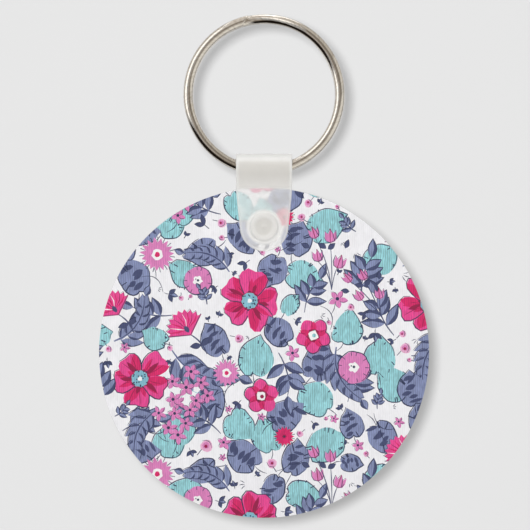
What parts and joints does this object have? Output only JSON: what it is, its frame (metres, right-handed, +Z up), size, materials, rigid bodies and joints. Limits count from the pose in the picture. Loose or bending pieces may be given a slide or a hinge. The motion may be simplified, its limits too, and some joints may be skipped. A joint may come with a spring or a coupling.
{
  "type": "keychain",
  "caption": "Round printed disc hanging from a split ring on a folded translucent strap that snaps shut through the disc.",
  "frame": {"origin": "the point inside the top of the split ring where a hook or another ring carries the keychain", "axes": "+Z up along the hanging keychain, -Y out of the disc's printed front, +X to the right seen from the front"},
  "size_m": [0.0572, 0.0058, 0.0873],
  "materials": {
    "ring_steel": "nickel plated",
    "strap_plastic": "frosted translucent",
    "disc_board": "plain white",
    "printed_film": "printed with a floral pattern, satin"
  },
  "bodies": {
    "ring": {"split_ring": "ring_steel"},
    "strap": {"strap_front": "strap_plastic"},
    "snap_flap": {"strap_back": "strap_plastic"},
    "disc": {"disc_core": "disc_board", "front_print": "printed_film", "back_print": "printed_film"}
  },
  "joints": [
    {"name": "strap_swing", "type": "hinge", "parent": "ring", "child": "strap", "pos_m": [0, 0, -0.02545], "axis": [1, 0, 0], "range_deg": [-100, 100]},
    {"name": "disc_swivel", "type": "hinge", "parent": "strap", "child": "disc", "pos_m": [0, 0, -0.0353], "axis": [0, 1, 0], "range_deg": [-20, 20]},
    {"name": "snap_open", "type": "hinge", "parent": "strap", "child": "snap_flap", "pos_m": [0, 0.00237, -0.02647], "axis": [1, 0, 0], "range_deg": [0, 75]}
  ]
}
